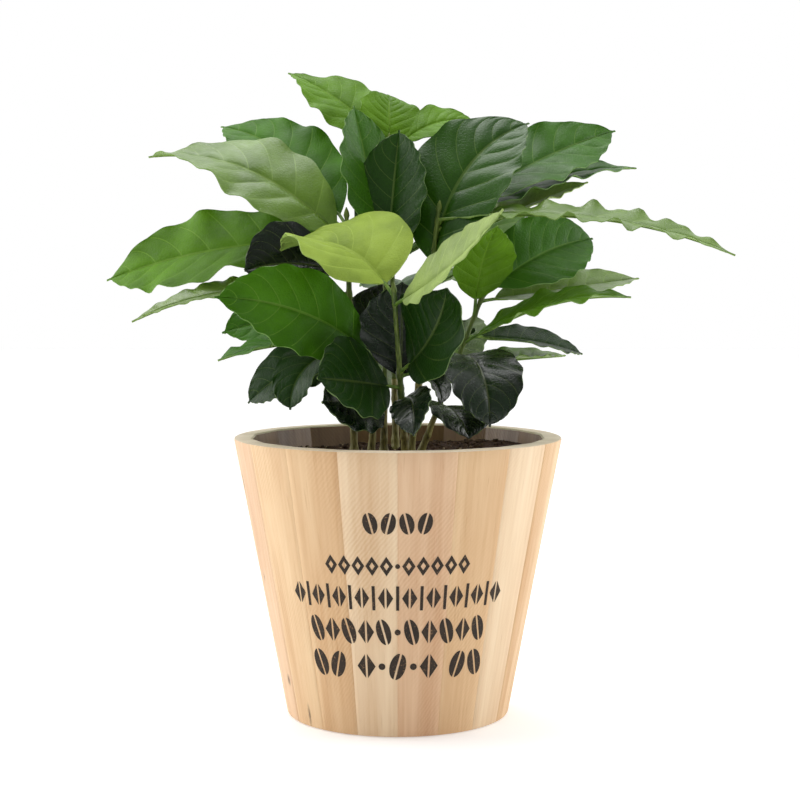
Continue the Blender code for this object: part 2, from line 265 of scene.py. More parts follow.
# %% Node group for grain
def build_grain():
    group, given, result = open_group(
        "wood_grain",
        {"Vector": ("NodeSocketVector", None),
         "Light": ("NodeSocketColor", (1, 1, 1, 1)),
         "Dark": ("NodeSocketColor", (0, 0, 0, 1)),
         "Offset": ("NodeSocketFloat", 0.0)},
        (("Colour", "NodeSocketColor"), ("Roughness", "NodeSocketFloat"),
         ("Height", "NodeSocketFloat")),
    )
    place = given.outputs["Vector"]
    shifted = place_node(group, "ShaderNodeVectorMath", {"operation": "ADD"}, i0=place)
    push = place_node(group, "ShaderNodeCombineXYZ", X=given.outputs["Offset"], Y=given.outputs["Offset"])
    group.links.new(push.outputs[0], shifted.inputs[1])
    where = shifted.outputs[0]

    def streaks(across, along, detail, distortion=0.0):
        stretch = place_node(group, "ShaderNodeVectorMath", {"operation": "MULTIPLY"}, i0=where,
                             i1=(across, along, across))
        texture = place_node(group, "ShaderNodeTexNoise", Vector=stretch.outputs[0], Scale=1.0,
                             Detail=detail, Roughness=0.55, Distortion=distortion)
        return texture.outputs[0]

    broad = ramp_range(group, streaks(70, 5, 3, 0.4), 0.35, 0.68)
    fine = ramp_range(group, streaks(520, 18, 4), 0.30, 0.75)
    pores = ramp_range(group, streaks(1400, 60, 2), 0.62, 0.74)
    turned = place_node(group, "ShaderNodeMapping", Vector=place, Rotation=(0, 0, math.radians(36)))
    saw = place_node(group, "ShaderNodeTexWave", {"bands_direction": "X", "wave_profile": "SIN"},
                     Vector=turned.outputs[0], Scale=210.0, Distortion=3.0, Detail=2.0,
                     Detail_Scale=1.5)
    patch = ramp_range(group, streaks(30, 14, 2), 0.42, 0.70)
    saw_marks = maths(group, "MULTIPLY", saw.outputs["Fac"], patch)

    tone = maths(group, "ADD", maths(group, "MULTIPLY", broad, 0.55), maths(group, "MULTIPLY", fine, 0.30))
    tone = maths(group, "ADD", tone, maths(group, "MULTIPLY", saw_marks, 0.26))
    tone = maths(group, "ADD", tone, maths(group, "MULTIPLY", pores, 0.22))
    colour = mix_colours(group, tone, given.outputs["Light"], given.outputs["Dark"])
    group.links.new(colour, result.inputs["Colour"])
    group.links.new(ramp_range(group, fine, 0, 1, 0.52, 0.66), result.inputs["Roughness"])
    height = maths(group, "SUBTRACT", maths(group, "MULTIPLY", fine, 0.4), pores)
    height = maths(group, "SUBTRACT", height, maths(group, "MULTIPLY", saw_marks, 0.5))
    group.links.new(height, result.inputs["Height"])
    return group


GRAIN = build_grain()
print("grain group nodes:", len(GRAIN.nodes))


# %% Knots and worn spots
# Each: angle from the front in degrees, height, half width and half height in metres
KNOTS = (
    (-63, 0.0200, 0.0016, 0.0026),
    (-48, 0.0065, 0.0011, 0.0048),
    (-76, 0.1080, 0.0010, 0.0060),
    (-71, 0.0660, 0.0007, 0.0018),
    (118, 0.0820, 0.0030, 0.0045),
    (171, 0.0360, 0.0022, 0.0032),
    (-139, 0.0930, 0.0016, 0.0024),
)
TUB_MAP_RADIUS = 0.063


def unrolled(angle):
    """Metres round the tub on its unrolled map, 0 at the back, for an angle from the front."""
    return (angle + math.pi) * TUB_MAP_RADIUS


def knot_mask(tree, place):
    """Darkness of the knots: 1 at the middle of each and 0 outside it. Reads the tub's own
    unrolled map, metres round the tub and metres up it."""
    total = None
    for angle, height, half_across, half_up in KNOTS:
        middle = (unrolled(math.radians(angle)), height, 0)
        away = place_node(tree, "ShaderNodeVectorMath", {"operation": "SUBTRACT"}, i0=place, i1=middle)
        scaled = place_node(tree, "ShaderNodeVectorMath", {"operation": "DIVIDE"},
                            i0=away.outputs[0], i1=(half_across, half_up, 1))
        far = place_node(tree, "ShaderNodeVectorMath", {"operation": "LENGTH"}, i0=scaled.outputs[0])
        spot = ramp_range(tree, far.outputs["Value"], 1.3, 0.2)
        total = spot if total is None else maths(tree, "MAXIMUM", total, spot)
    return total


# %% Finishes of the tub
def wood_finish(name, light, dark, offset, coat=0.0, roughness_shift=0.0, knots=False):
    finish, tree, shader = new_finish(name, coat=coat, coat_roughness=0.25)
    own_map = place_node(tree, "ShaderNodeUVMap", {"uv_map": "unrolled"})
    grain = place_node(tree, "ShaderNodeGroup", {"node_tree": GRAIN}, Vector=own_map.outputs[0],
                       Light=light, Dark=dark, Offset=offset)
    colour = grain.outputs["Colour"]
    if knots:
        wobble = place_node(tree, "ShaderNodeTexNoise", Vector=own_map.outputs[0], Scale=420.0, Detail=2.0)
        moved = place_node(tree, "ShaderNodeVectorMath", {"operation": "SCALE"},
                           i0=wobble.outputs["Color"], Scale=0.0016)
        place = place_node(tree, "ShaderNodeVectorMath", {"operation": "ADD"},
                           i0=own_map.outputs[0], i1=moved.outputs[0])
        mask = knot_mask(tree, place.outputs[0])
        colour = mix_colours(tree, maths(tree, "MULTIPLY", mask, 0.85), colour, paint(92, 66, 44))
    tree.links.new(colour, shader.inputs["Base Color"])
    rough = maths(tree, "ADD", grain.outputs["Roughness"], roughness_shift)
    tree.links.new(rough, shader.inputs["Roughness"])
    tree.links.new(bump(tree, grain.outputs["Height"], 0.00025, 0.5), shader.inputs["Normal"])
    return finish


STAVE_TONES = {
    "honey": (paint(231, 199, 156), paint(194, 147, 98)),
    "pale": (paint(236, 211, 176), paint(204, 165, 122)),
    "warm": (paint(230, 197, 160), paint(195, 148, 108)),
}
TUB_FINISHES = [
    wood_finish("stave_wood_" + tone, light, dark, 0.37 * number, knots=True)
    for number, (tone, (light, dark)) in enumerate(STAVE_TONES.items())
]
RIM_WOOD = wood_finish("rim_end_grain", paint(238, 222, 198), paint(206, 184, 154), 1.7)
INNER_WOOD = wood_finish("inner_wood", paint(166, 128, 92), paint(106, 74, 48), 2.3, coat=0.12,
                         roughness_shift=-0.12)
UNDER_WOOD = wood_finish("underside_wood", paint(214, 182, 142), paint(176, 134, 94), 3.1)
TUB_FINISHES += [RIM_WOOD, INNER_WOOD, UNDER_WOOD]
RIM, INNER, UNDER = 3, 4, 5
print("tub finishes:", len(TUB_FINISHES))

# %% [markdown]
# ## The tub
# One profile goes round eighteen staves: up the outside, across the flat rim, down the
# flats inside and over the floor. Ten corners to a stave put one corner exactly on each
# glue joint, where a hair-fine groove is sunk. The outside also swells and sinks by less
# than a tenth of a millimetre, as sanded softwood does.

# %% Sizes of the tub
RIM_DIAMETER = 0.150
BASE_DIAMETER = 0.102
TUB_HEIGHT = 0.127
WALL = 0.009
FLOOR = 0.010
STAVES = 18
CORNER_ANGLES = (0, 0.35, 2.0, 4.5, 7.5, 10, 12.5, 15.5, 18.0, 19.65)
JOINT_DEPTH = 0.00022
EDGE_EASE = 0.0008
OUTSIDE_LEVELS = 22
STAVE_PATTERN = ("honey warm pale honey pale warm honey honey pale "
                 "warm honey pale honey warm pale honey warm pale")


def tub_radius(height):
    """Outer radius of the tub at this height."""
    return (BASE_DIAMETER + (RIM_DIAMETER - BASE_DIAMETER) * height / TUB_HEIGHT) / 2


def around_tub():
    """Angle, degrees into the stave and depth of the joint, for each corner from the back."""
    corners = []
    for stave in range(STAVES):
        for within in CORNER_ANGLES:
            angle = math.radians(-180 + stave * 360 / STAVES + within)
            corners.append((angle, within, JOINT_DEPTH if within == 0 else 0.0))
    return corners


CORNERS = around_tub()


def round_ring(height, inset):
    points = []
    for angle, _, joint in CORNERS:
        towards = Vector((math.sin(angle), -math.cos(angle), 0))
        radius = tub_radius(height) - inset - joint
        spot = towards * radius + Vector((0, 0, height))
        radius += 0.00006 * noise.noise(spot * 90)
        points.append(Vector((towards.x * radius, towards.y * radius, height)))
    return points


def flat_ring(height, clear=0.0):
    """A ring on the flats of the inside, the wall's thickness away from the outside."""
    points = []
    for angle, within, _ in CORNERS:
        reach = tub_radius(height) - WALL - clear
        radius = reach / math.cos(math.radians(within - 10))
        points.append(Vector((math.sin(angle) * radius, -math.cos(angle) * radius, height)))
    return points


def plain_ring(height, radius):
    return [Vector((math.sin(a) * radius, -math.cos(a) * radius, height)) for a, _, _ in CORNERS]


# %% Finishes and map of the tub
def finish_tub(bands, outside_from, rim_from, inner_from):
    """Gives each band of faces its finish, and each stave of the outside its own tone."""
    tones = [list(STAVE_TONES).index(word) for word in STAVE_PATTERN.split()]
    for number, band in enumerate(bands):
        for face in band:
            middle = face.calc_center_median()
            stave = int((math.atan2(middle.x, -middle.y) + math.pi) / (2 * math.pi) * STAVES) % STAVES
            if number < outside_from or number >= len(bands) - 2:
                face.material_index = UNDER
            elif number < rim_from:
                face.material_index = tones[stave]
            elif number < inner_from:
                face.material_index = RIM
            else:
                face.material_index = INNER


def unroll_tub(bm):
    """The tub's own map: metres round it and metres up it, or out from its middle where level."""
    lay = bm.loops.layers.uv.new("unrolled")
    for face in bm.faces:
        middle = face.calc_center_median()
        middle_angle = math.atan2(middle.x, -middle.y)
        for loop in face.loops:
            x, y, z = loop.vert.co
            angle = math.atan2(x, -y)
            if angle - middle_angle > math.pi:
                angle -= 2 * math.pi
            elif middle_angle - angle > math.pi:
                angle += 2 * math.pi
            level = face.material_index in (RIM, UNDER)
            loop[lay].uv = (unrolled(angle), math.hypot(x, y) if level else z)


# %% Build the tub
def build_tub():
    bm = bmesh.new()
    base_ring = tub_radius(0) - WALL
    rings = [
        plain_ring(0, 0.012), plain_ring(0, base_ring - 0.0006), plain_ring(0.0004, base_ring - 0.0002),
        plain_ring(0.0004, base_ring + 0.0002), plain_ring(0, base_ring + 0.0006),
        round_ring(0, EDGE_EASE), round_ring(EDGE_EASE * 0.3, EDGE_EASE * 0.3),
    ]
    outside_from = len(rings) - 1
    for level in range(OUTSIDE_LEVELS + 1):
        rings.append(round_ring(EDGE_EASE + (TUB_HEIGHT - 2 * EDGE_EASE) * level / OUTSIDE_LEVELS, 0))
    rings.append(round_ring(TUB_HEIGHT - EDGE_EASE * 0.3, EDGE_EASE * 0.3))
    rim_from = len(rings) - 1
    rings += [round_ring(TUB_HEIGHT, EDGE_EASE), flat_ring(TUB_HEIGHT, -0.0006),
              flat_ring(TUB_HEIGHT - 0.0006)]
    inner_from = len(rings) - 1
    for height in (0.115, 0.09, 0.05, FLOOR):
        rings.append(flat_ring(height))
    rings.append(plain_ring(FLOOR, 0.012))
    finish_tub(skin(bm, rings), outside_from, rim_from, inner_from)
    unroll_tub(bm)
    bmesh.ops.recalc_face_normals(bm, faces=bm.faces[:])
    return object_from("tub", bm, TUB_FINISHES)


tub = build_tub()
tub.data.shade_smooth()
tub.data.set_sharp_from_angle(angle=math.radians(35))
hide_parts("pot")
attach(tub, "root")
print("tub faces:", len(tub.data.polygons))

# %% [markdown]
# ## Stencilled ornament
# A crate-maker's stencil has left rows of dark marks on the front. This tub wears a plain
# ornament of coffee beans, lozenges, rings and bars in five rows. Each mark starts as a
# filled circle with few or many corners, is cut by a plane where a stencil has its bridge,
# and is then laid on the cone of the tub. A thin shell makes it a film of ink.

# %% Ink
def ink_finish():
    finish, tree, shader = new_finish("stencil_ink", roughness=0.7, specular=0.3)
    place = place_node(tree, "ShaderNodeTexCoord").outputs["Object"]
    wear = place_node(tree, "ShaderNodeTexNoise", Vector=place, Scale=900.0, Detail=3.0, Roughness=0.7)
    worn = ramp_range(tree, wear.outputs[0], 0.60, 0.72)
    streak = place_node(tree, "ShaderNodeTexNoise", Vector=place, Scale=160.0, Detail=2.0)
    black = mix_colours(tree, streak.outputs[0], paint(34, 28, 24), paint(62, 50, 40))
    colour = mix_colours(tree, maths(tree, "MULTIPLY", worn, 0.55), black, paint(176, 136, 98))
    tree.links.new(colour, shader.inputs["Base Color"])
    tree.links.new(bump(tree, wear.outputs[0], 0.0001, 0.4), shader.inputs["Normal"])
    return finish


INK = ink_finish()

# %% Marks
INK_PROUD = 0.00010
INK_DEPTH = 0.00022
BRIDGE = 0.00045


def cut_disc(bm, sides, wide, tall, keep, turn=0.0):
    """Half a filled disc of the given size, right or left of the stencil's bridge."""
    made = bmesh.ops.create_circle(bm, cap_ends=True, cap_tris=True, segments=sides, radius=1)["verts"]
    bmesh.ops.scale(bm, verts=made, vec=(wide / 2, tall / 2, 1))
    edges = {edge for vert in made for edge in vert.link_edges}
    faces = {face for vert in made for face in vert.link_faces}
    geom = list(made) + list(edges) + list(faces)
    if keep:
        cut = bmesh.ops.bisect_plane(bm, geom=geom, plane_co=(keep * BRIDGE, 0, 0),
                                     plane_no=(keep, 0, 0), clear_inner=True)
        made = [item for item in cut["geom"] if isinstance(item, bmesh.types.BMVert)]
    for vert in made:
        x, y = vert.co.x, vert.co.y
        vert.co.x = x * math.cos(turn) - y * math.sin(turn)
        vert.co.y = x * math.sin(turn) + y * math.cos(turn)
    return made


def bean(bm, wide, tall, lean):
    return cut_disc(bm, 24, wide, tall, 1, lean) + cut_disc(bm, 24, wide, tall, -1, lean)


def lozenge(bm, wide, tall, _):
    return cut_disc(bm, 4, wide, tall, 1) + cut_disc(bm, 4, wide, tall, -1)


def dot(bm, wide, tall, _):
    return cut_disc(bm, 16, wide, wide, 0)


def bar(bm, wide, tall, _):
    made = bmesh.ops.create_grid(bm, x_segments=1, y_segments=4, size=0.5)["verts"]
    bmesh.ops.scale(bm, verts=made, vec=(wide, tall, 1))
    return made


def ring(bm, wide, tall, _):
    """A thin-lined lozenge: a filled one whose middle is inset and taken out."""
    made = bmesh.ops.create_circle(bm, cap_ends=True, segments=4, radius=1)["verts"]
    bmesh.ops.scale(bm, verts=made, vec=(wide / 2, tall / 2, 1))
    face = next(iter(made[0].link_faces))
    bmesh.ops.inset_region(bm, faces=[face], thickness=0.0014, use_even_offset=True, use_boundary=True)
    inner = list(face.verts)
    bmesh.ops.delete(bm, geom=[face], context="FACES_ONLY")
    return list(made) + inner


# Height of the row's middle, height of its marks, half its arc in degrees, and its marks in
# order. A mark's weight is its share of the row's width, and its fill the part it covers.
MarkRow = namedtuple("MarkRow", "middle tall half_arc marks")
MARK_ROWS = (
    MarkRow(0.0962, 0.0095, 13.0, "bean bean bean bean"),
    MarkRow(0.0775, 0.0086, 28.4, "ring ring ring ring ring dot ring ring ring ring ring"),
    MarkRow(0.0633, 0.0108, 45.6, "lozenge bar lozenge bar lozenge bar lozenge bar lozenge bar "
            "lozenge bar lozenge bar lozenge bar lozenge bar lozenge"),
    MarkRow(0.0481, 0.0118, 38.9, "bean lozenge bean lozenge bean dot bean lozenge bean lozenge bean"),
    MarkRow(0.0325, 0.0122, 39.9, "bean bean gap lozenge dot bean dot lozenge gap bean bean"),
)
WEIGHTS = {"bean": 1.0, "ring": 1.0, "lozenge": 1.0, "dot": 0.55, "bar": 0.45, "gap": 0.5}
MAKERS = {"bean": bean, "ring": ring, "lozenge": lozenge, "dot": dot, "bar": bar}
FILL = {"bean": 0.80, "ring": 0.92, "lozenge": 0.92, "dot": 0.62, "bar": 0.42}


def lay_marks():
    bm = bmesh.new()
    for row in MARK_ROWS:
        words = row.marks.split()
        total = sum(WEIGHTS[word] for word in words)
        arc = math.radians(2 * row.half_arc)
        radius = tub_radius(row.middle)
        run = -arc / 2
        for number, word in enumerate(words):
            share = arc * WEIGHTS[word] / total
            if word in MAKERS:
                wide = share * radius * FILL[word]
                lean = math.radians(-14 if number % 2 else 14)
                for vert in MAKERS[word](bm, wide, row.tall, lean):
                    height = row.middle + vert.co.y
                    angle = run + share / 2 + vert.co.x / radius
                    out = tub_radius(height) + INK_PROUD - INK_DEPTH
                    vert.co = (math.sin(angle) * out, -math.cos(angle) * out, height)
            run += share
    bmesh.ops.recalc_face_normals(bm, faces=bm.faces[:])
    for face in bm.faces:
        middle = face.calc_center_median()
        if face.normal.dot(Vector((middle.x, middle.y, 0))) < 0:
            face.normal_flip()
    marks = object_from("stencil_marks", bm, [INK])
    shell = marks.modifiers.new("film", "SOLIDIFY")
    shell.thickness = INK_DEPTH
    shell.offset = 1
    return marks


marks = lay_marks()
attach(marks, "root")
print("mark faces:", len(marks.data.polygons))

# %% [markdown]
# ## Peat
# Dark, chunky peat fills the tub to a finger's breadth below the rim. Its bed is a disc of
# rings that rises and falls by seeded noise, closed by a bowl that fits the tub. Crumbs
# and pale bits lie on it: one low-faced ball repeated, each squashed and turned its own way.

# %% Finishes of the peat
def crumbly_finish(name, dark, light, bump_depth, scale=520.0):
    finish, tree, shader = new_finish(name, roughness=0.9, specular=0.25)
    place = place_node(tree, "ShaderNodeTexCoord").outputs["Object"]
    lumps = place_node(tree, "ShaderNodeTexNoise", Vector=place, Scale=scale, Detail=5.0, Roughness=0.65)
    fibres = place_node(tree, "ShaderNodeTexNoise", Vector=place, Scale=scale * 3, Detail=2.0)
    tone = ramp_range(tree, lumps.outputs[0], 0.32, 0.72)
    tree.links.new(mix_colours(tree, tone, dark, light), shader.inputs["Base Color"])
    height = maths(tree, "ADD", lumps.outputs[0], maths(tree, "MULTIPLY", fibres.outputs[0], 0.4))
    tree.links.new(bump(tree, height, bump_depth, 0.9), shader.inputs["Normal"])
    return finish


PEAT_FINISH = crumbly_finish("peat", paint(34, 19, 12), paint(92, 60, 42), 0.0012)
CRUMB_FINISH = crumbly_finish("peat_crumb", paint(38, 26, 20), paint(104, 78, 58), 0.0006, 700.0)
PALE_BIT_FINISH = crumbly_finish("pale_bit", paint(150, 126, 96), paint(204, 186, 156), 0.0004, 900.0)

# %% Peat bed and crumbs
PEAT_LEVEL = 0.1190
PEAT_EDGE_DROP = 0.0020
BANK_RISE = 0.0040
BANK_MIDDLE = 120
BANK_SPREAD = 50
# Height in metres and fineness of each layer of noise on the peat
PEAT_SWELLS = ((0.0009, 70), (0.0007, 260), (0.0004, 640))
PEAT_RINGS = 30
GAP = 0.0003
CRUMBS = 620
PALE_BITS = 60


def peat_height(x, y):
    spot = Vector((x, y, 0))
    away = math.hypot(x, y) / (tub_radius(PEAT_LEVEL) - WALL)
    swell = sum(height * noise.noise(spot * fineness) for height, fineness in PEAT_SWELLS)
    from_bank = (math.degrees(math.atan2(x, -y)) - BANK_MIDDLE) / BANK_SPREAD
    bank = BANK_RISE * math.exp(-from_bank**2) * min(1, away)**2
    return PEAT_LEVEL - PEAT_EDGE_DROP * away**3 + bank + swell


def build_peat_bed():
    bm = bmesh.new()
    rings = []
    edge = flat_ring(PEAT_LEVEL - PEAT_EDGE_DROP, GAP)
    for step in range(1, PEAT_RINGS + 1):
        share = step / PEAT_RINGS
        points = [Vector((p.x * share, p.y * share, 0)) for p in edge]
        for point in points:
            point.z = peat_height(point.x, point.y)
        rings.append(points)
    rings += [flat_ring(height, GAP) for height in (0.110, 0.060, FLOOR + GAP)]
    skin(bm, rings)
    bmesh.ops.recalc_face_normals(bm, faces=bm.faces[:])
    return object_from("peat_bed", bm, [PEAT_FINISH])


peat_bed = build_peat_bed()
peat_bed.data.shade_smooth()
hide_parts("soil")
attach(peat_bed, "root")


def scatter(name, finish, count, sizes, seed, spread=None):
    """Low-faced balls on the peat, each squashed and turned by a seeded throw."""
    chance = random.Random(seed)
    bm = bmesh.new()
    reach = tub_radius(PEAT_LEVEL) - WALL - 0.0016
    for _ in range(count):
        angle = chance.uniform(*(spread or (-180, 180)))
        away = reach * (chance.uniform(0.0, 1.0) ** 0.5 if spread is None else chance.uniform(0.86, 1.0))
        x, y = math.sin(math.radians(angle)) * away, -math.cos(math.radians(angle)) * away
        size = chance.uniform(*sizes)
        made = bmesh.ops.create_icosphere(bm, subdivisions=1, radius=size)["verts"]
        stretch = Vector((chance.uniform(0.7, 1.5), chance.uniform(0.5, 1.0), chance.uniform(0.4, 0.8)))
        turn = chance.uniform(0, 2 * math.pi)
        tip = chance.uniform(-0.6, 0.6)
        for vert in made:
            point = Vector(vert.co[i] * stretch[i] * (1 + 0.25 * chance.uniform(-1, 1)) for i in range(3))
            point = Vector((point.x * math.cos(tip) - point.z * math.sin(tip), point.y,
                            point.x * math.sin(tip) + point.z * math.cos(tip)))
            vert.co = (x + point.x * math.cos(turn) - point.y * math.sin(turn),
                       y + point.x * math.sin(turn) + point.y * math.cos(turn),
                       peat_height(x, y) + size * 0.15 + point.z)
    obj = object_from(name, bm, [finish])
    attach(obj, "root")
    return obj


scatter("peat_crumbs", CRUMB_FINISH, CRUMBS, (0.0006, 0.0019), 11)
scatter("pale_bits", PALE_BIT_FINISH, PALE_BITS, (0.0004, 0.0011), 12)
scatter("pale_rim_bits", PALE_BIT_FINISH, 16, (0.0006, 0.0014), 13, spread=(2, 42))
print("peat faces:", len(peat_bed.data.polygons))

# %% [markdown]
# ## Leaves: colours
# A coffee leaf starts lime green and matt, turns bright green, and ends dark green and very
# glossy near the soil. Its underside is paler and duller, and its veins are pale. The lowest
# leaves, deep in the crown, wear a black tint: their dark green deepened almost to black
# with painted shade. Each tint below gives the colour of the upper face, its roughness, its
# shine and the weight of the wax coat. Tints are dealt out leaf by leaf, with a darker
# mottling that is partly the leaf's own colour and partly painted shade.

# %% Node group for the skin of a leaf
def build_leaf_skin():
    group, given, result = open_group(
        "leaf_skin",
        {"Vector": ("NodeSocketVector", None),
         "Colour": ("NodeSocketColor", (0.1, 0.3, 0.05, 1)),
         "Mottle": ("NodeSocketColor", (0.1, 0.3, 0.05, 1)),
         "Rough": ("NodeSocketFloat", 0.35)},
        (("Colour", "NodeSocketColor"), ("Roughness", "NodeSocketFloat"),
         ("Height", "NodeSocketFloat")),
    )
    place = given.outputs["Vector"]
    # Random clouds blend the colour toward the second colour: mottling that is partly the leaf's own and
    # partly painted shade for the leaf's hollows.
    clouds = place_node(group, "ShaderNodeTexNoise", Vector=place, Scale=55.0, Detail=3.0, Roughness=0.5)
    cells = place_node(group, "ShaderNodeTexVoronoi", {"feature": "DISTANCE_TO_EDGE"},
                       Vector=place, Scale=620.0)
    net = ramp_range(group, cells.outputs["Distance"], 0.0, 0.18)
    ripple = place_node(group, "ShaderNodeTexNoise", Vector=place, Scale=240.0, Detail=2.0)
    share = ramp_range(group, clouds.outputs[0], 0.36, 0.66)
    colour = mix_colours(group, share, given.outputs["Colour"], given.outputs["Mottle"])
    group.links.new(colour, result.inputs["Colour"])
    rough = maths(group, "ADD", given.outputs["Rough"],
                  ramp_range(group, ripple.outputs[0], 0.3, 0.7, -0.05, 0.07))
    group.links.new(rough, result.inputs["Roughness"])
    height = maths(group, "ADD", maths(group, "MULTIPLY", net, 0.35), ripple.outputs[0])
    group.links.new(height, result.inputs["Height"])
    return group


LEAF_SKIN = build_leaf_skin()


def leaf_finish(name, colour, mottle_and_shade, rough, shine, coat, relief):
    finish, tree, shader = new_finish(name, specular=shine, coat=coat, coat_roughness=0.2)
    place = place_node(tree, "ShaderNodeTexCoord").outputs["Object"]
    waxed = place_node(tree, "ShaderNodeGroup", {"node_tree": LEAF_SKIN}, Vector=place,
                       Colour=colour, Mottle=mottle_and_shade, Rough=rough)
    tree.links.new(waxed.outputs["Colour"], shader.inputs["Base Color"])
    tree.links.new(waxed.outputs["Roughness"], shader.inputs["Roughness"])
    tree.links.new(bump(tree, waxed.outputs["Height"], relief, 0.6), shader.inputs["Normal"])
    return finish


# %% Tints
# Upper face, roughness, shine of the skin and weight of the wax coat over it
Tint = namedtuple("Tint", "colour rough shine coat")
TINTS = {
    "lime": Tint(paint(152, 176, 70), 0.55, 0.10, 0.00),
    "pale": Tint(paint(150, 172, 92), 0.50, 0.30, 0.05),
    "fresh": Tint(paint(100, 144, 26), 0.48, 0.12, 0.00),
    "spring": Tint(paint(88, 132, 18), 0.46, 0.12, 0.00),
    "bright": Tint(paint(66, 116, 8), 0.45, 0.12, 0.00),
    "olive": Tint(paint(104, 138, 40), 0.38, 0.35, 0.20),
    "silver": Tint(paint(112, 144, 44), 0.34, 0.50, 0.35),
    "green": Tint(paint(60, 108, 14), 0.42, 0.20, 0.05),
    "gloss": Tint(paint(44, 84, 8), 0.34, 0.22, 0.15),
    "deep": Tint(paint(34, 68, 10), 0.38, 0.20, 0.06),
    "dark": Tint(paint(26, 54, 8), 0.38, 0.14, 0.06),
    # The black tint is old-leaf green deepened almost to black with painted shade, for the low leaves shaded
    # by the crown.
    "black": Tint(paint(9, 18, 8), 0.28, 0.28, 0.35),
}
UNDERSIDE = paint(138, 166, 96)
VEIN = paint(176, 198, 110)
MIDRIB = paint(150, 172, 84)


def tint_finishes(word):
    """Upper face, underside, veins above and veins below, in the order leaves use them."""
    tint = TINTS[word]
    below = blend(tint.colour, UNDERSIDE, 0.45)
    vein = blend(tint.colour, VEIN, 0.13)
    # The darker second colour is partly mottling and partly painted shade, standing in for the shade in the
    # leaf's hollows.
    mottle_and_shade = blend(tint.colour, paint(14, 50, 6), 0.34)
    return [
        leaf_finish("leaf_" + word, tint.colour, mottle_and_shade, tint.rough, tint.shine, tint.coat, 0.0003),
        leaf_finish(f"leaf_{word}_underside", below, blend(below, tint.colour, 0.25), 0.55, 0.3, 0, 0.0004),
        leaf_finish(f"leaf_{word}_vein", vein, blend(vein, tint.colour, 0.3), tint.rough, tint.shine,
                    tint.coat, 0.0002),
        leaf_finish(f"leaf_{word}_rib", blend(below, MIDRIB, 0.4), blend(below, MIDRIB, 0.2), 0.5, 0.3,
                    0, 0.0002),
    ]


LEAF_FINISHES = {word: tint_finishes(word) for word in TINTS}
print("leaf finishes:", 4 * len(LEAF_FINISHES))

# %% [markdown]
# ## Leaves: the rule
# Every leaf follows the same rule as in the CAD model. Its midrib leaves the stem at some
# heading and climb and droops as it goes, its two halves fold up from the midrib, and its
# margins wave. The table gives each seedling's foot and top, and for each leaf the height
# of its node, its angles in degrees, its length, width, age and tint. The angles and sizes
# of 46 of the 49 leaves weren't chosen by hand: a least-squares search fitted this rule to
# outlines read off the photograph, and 14 of them were then changed a little.

# %% The seedlings
Age = namedtuple("Age", "fold widest fullness wave quilt")
YOUNG = Age(15, 0.80, 0.74, 0.0015, 0.010)
PALE = Age(14, 1.00, 0.74, 0.0012, 0.012)
BRIGHT = Age(8, 1.03, 0.74, 0.0028, 0.016)
GROWN = Age(8, 1.03, 0.72, 0.0022, 0.018)
OLD = Age(12, 1.12, 0.60, 0.0012, 0.007)

Leaf = namedtuple("Leaf", "height azimuth rise droop sweep roll twist length width age tint")
Seedling = namedtuple("Seedling", "foot top leaves")

